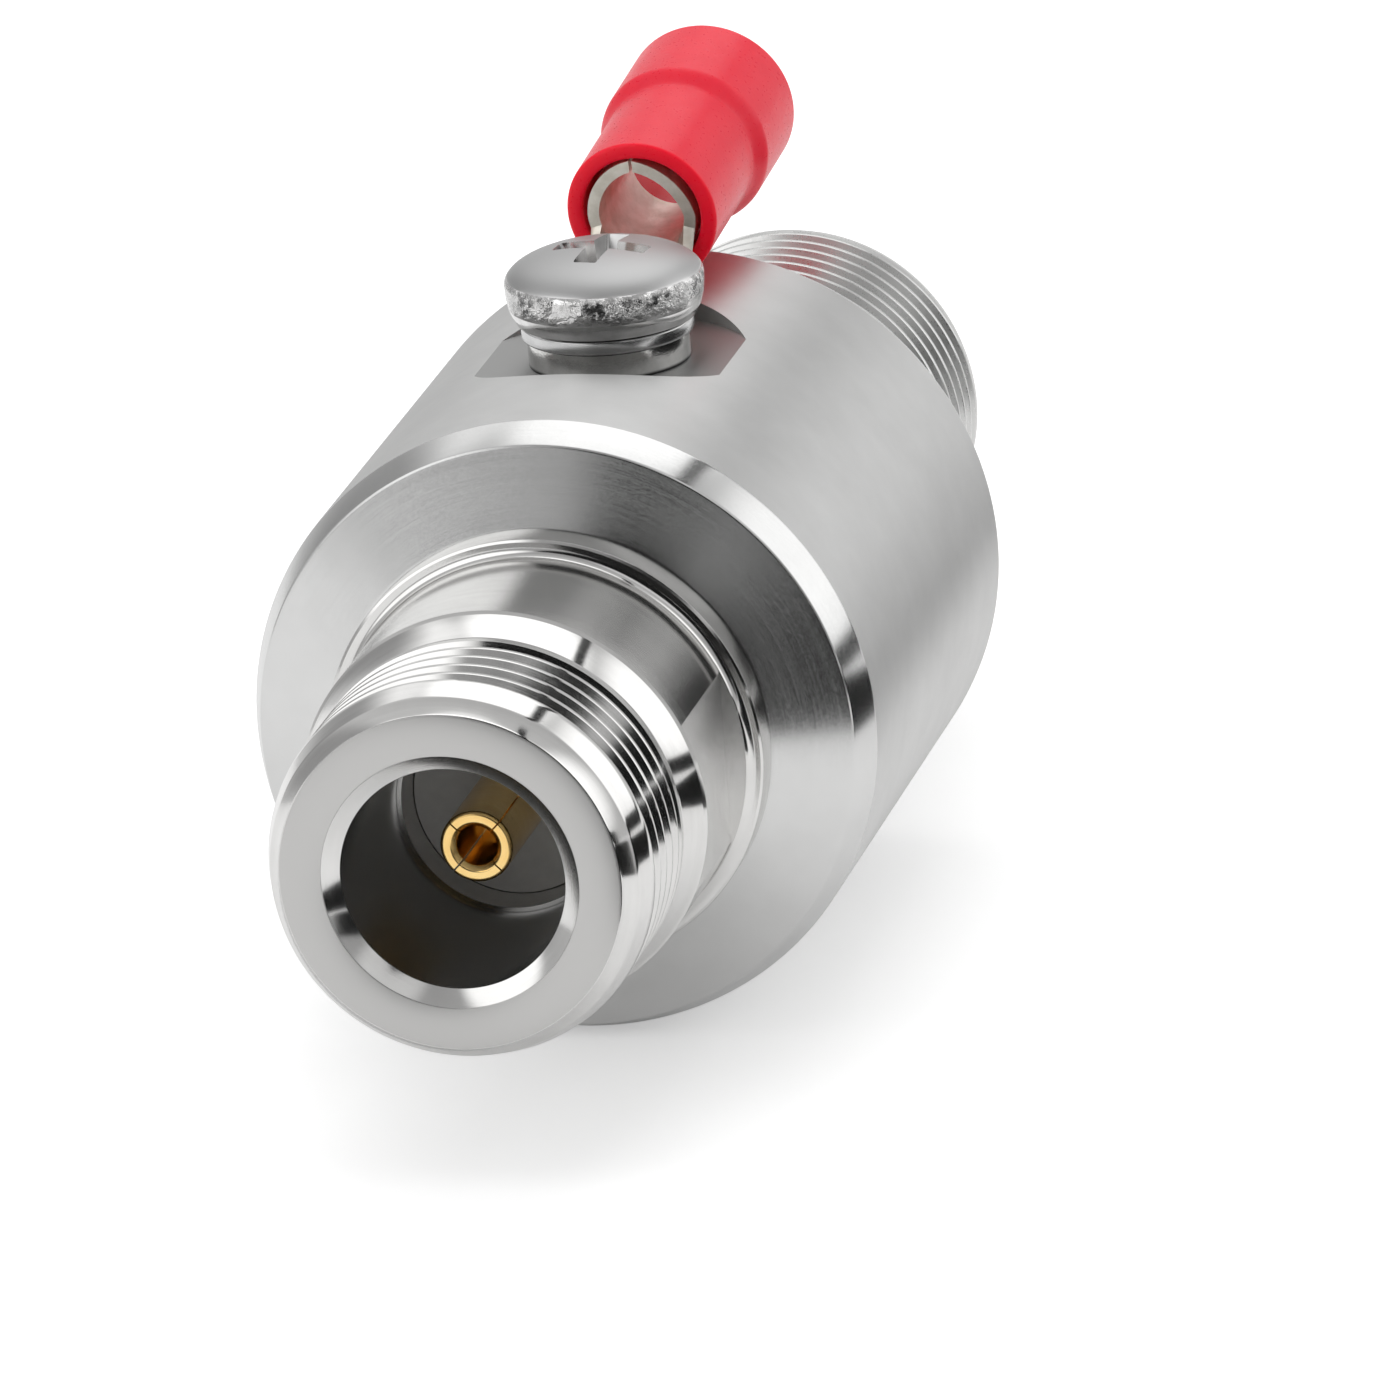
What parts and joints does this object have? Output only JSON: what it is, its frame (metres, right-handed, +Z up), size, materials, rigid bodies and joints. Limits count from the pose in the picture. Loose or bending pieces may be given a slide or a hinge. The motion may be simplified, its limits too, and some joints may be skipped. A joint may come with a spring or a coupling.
{
  "type": "coaxial lightning arrestor",
  "caption": "Inline coaxial surge arrestor: plain metal barrel with a threaded socket at each end and a crimp ring lug held by a cross-recess screw on top.",
  "frame": {"origin": "middle of the body, on the line that the two sockets share", "axes": "+Y along the line to the rear socket, +Z up through the ground screw, +X to the right seen from the front socket"},
  "size_m": [0.0264, 0.066, 0.0348],
  "materials": {
    "satin_plate": "satin nickel plate, turned",
    "bright_plate": "bright nickel plate",
    "gold": "gold plate",
    "bare_brass": "turned brass",
    "white_insulator": "machined fluoroplastic",
    "black_rubber": "moulded",
    "white_ceramic": "fired",
    "electrode_metal": "nickel iron",
    "spring_steel": "drawn wire",
    "zinc_screw": "bright plate over a formed head",
    "tinned_copper": "tin plate",
    "red_sleeve": "slightly translucent red vinyl"
  },
  "bodies": {
    "root": {"body_shell": "satin_plate", "front_connector_shell": "bright_plate", "rear_connector_shell": "bright_plate", "front_insulator": "white_insulator", "rear_insulator": "white_insulator", "front_clamp_bush": "bare_brass", "rear_clamp_bush": "bare_brass", "front_socket_contact": "gold", "rear_socket_contact": "gold", "front_seal_ring": "black_rubber", "rear_seal_ring": "black_rubber", "centre_conductor": "bare_brass", "gas_tube_ceramic": "white_ceramic", "gas_tube_line_electrode": "electrode_metal", "gas_tube_ground_electrode": "electrode_metal", "gas_tube_spring": "spring_steel", "ground_screw": "zinc_screw", "spring_washer": "zinc_screw", "ring_terminal": "tinned_copper", "insulating_sleeve": "red_sleeve"}
  },
  "joints": []
}
